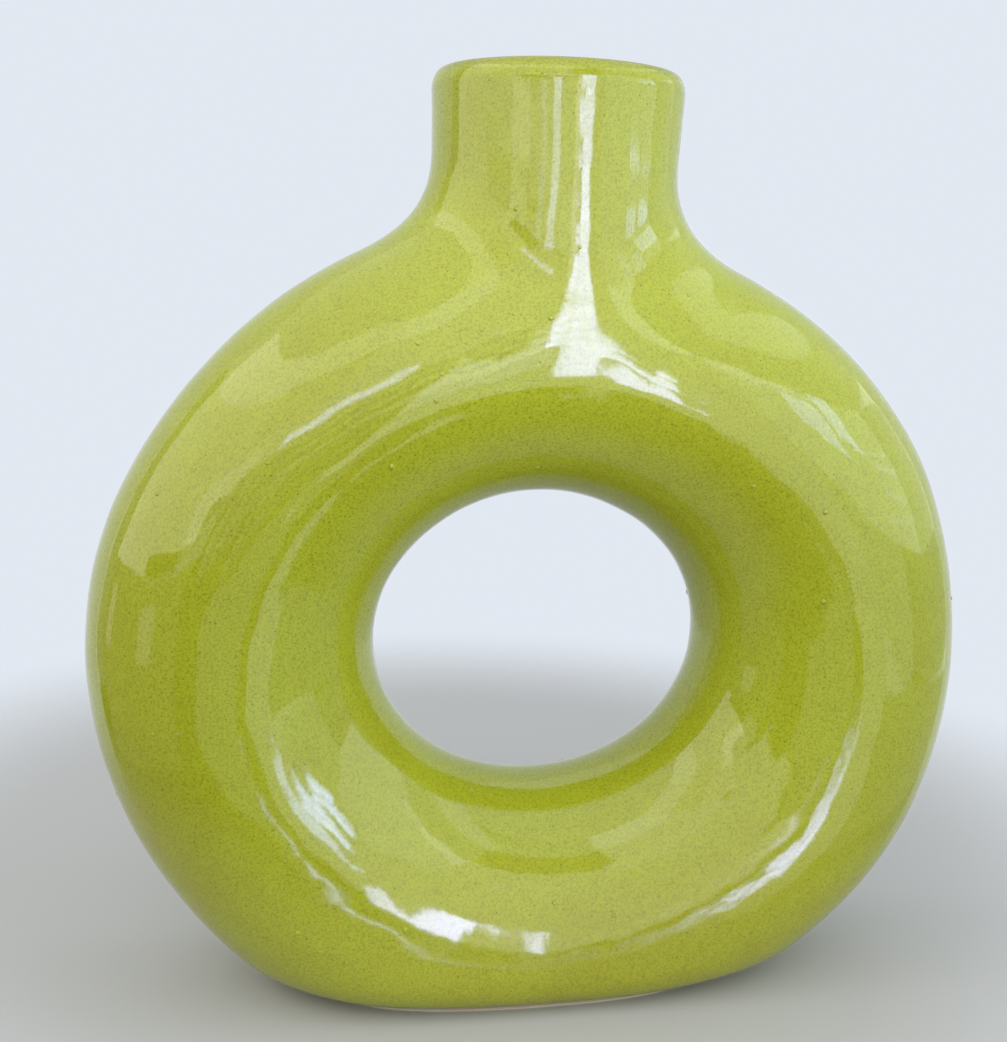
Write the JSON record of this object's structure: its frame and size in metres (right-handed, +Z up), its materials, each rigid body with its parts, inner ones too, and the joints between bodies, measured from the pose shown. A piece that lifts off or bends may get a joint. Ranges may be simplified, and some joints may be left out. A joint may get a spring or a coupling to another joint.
{
  "type": "ring vase",
  "caption": "Free-standing glazed ceramic ring vase with an oval hole, a short round neck with a soft lip and a flat base, built from clay members and slip joints",
  "frame": {"origin": "middle of the flat base on the resting plane", "axes": "+Z up along the neck, X across the ring's width, Y through the hole, front facing -Y"},
  "size_m": [0.205, 0.0588, 0.21],
  "materials": {
    "lime_glaze": "glossy lime green glaze with fine olive specks over stoneware",
    "bare_clay": "bare cream stoneware on the sole, glazed lime green up its rounded edge"
  },
  "bodies": {
    "root": {"ring_front_shell": "lime_glaze", "ring_rear_shell": "lime_glaze", "outer_seam_left": "lime_glaze", "outer_seam_right": "lime_glaze", "inner_seam": "lime_glaze", "neck_collar": "lime_glaze", "neck_seam": "lime_glaze", "base_slab": "bare_clay", "base_seam": "lime_glaze"}
  },
  "joints": []
}
